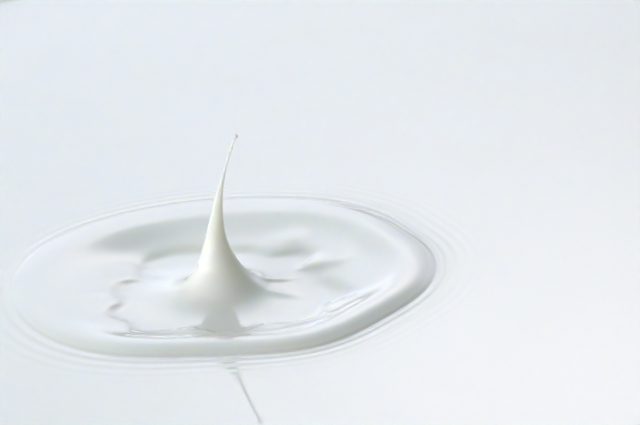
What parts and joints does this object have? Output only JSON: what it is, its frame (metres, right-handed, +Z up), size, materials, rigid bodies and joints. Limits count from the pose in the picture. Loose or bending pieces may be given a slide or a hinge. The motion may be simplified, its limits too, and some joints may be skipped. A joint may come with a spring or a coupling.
{
  "type": "glass dish of milk with a drop splash",
  "caption": "Round clear glass dish filled with milk, caught as a drop has fallen: a thin leaning jet in a scalloped hollow, with a low round wave and fine ripples.",
  "frame": {"origin": "centre of the dish's foot, on the surface it stands on", "axes": "+Z is up out of the milk, +X is the way the jet leans, +Y is away from the side it is mostly seen from"},
  "size_m": [0.271, 0.271, 0.0639],
  "materials": {
    "clear_glass": "pressed and fire-polished clear soda-lime glass",
    "milk": "wet, glossy fresh milk"
  },
  "bodies": {
    "root": {"glass_dish": "clear_glass", "milk": "milk"}
  },
  "joints": []
}
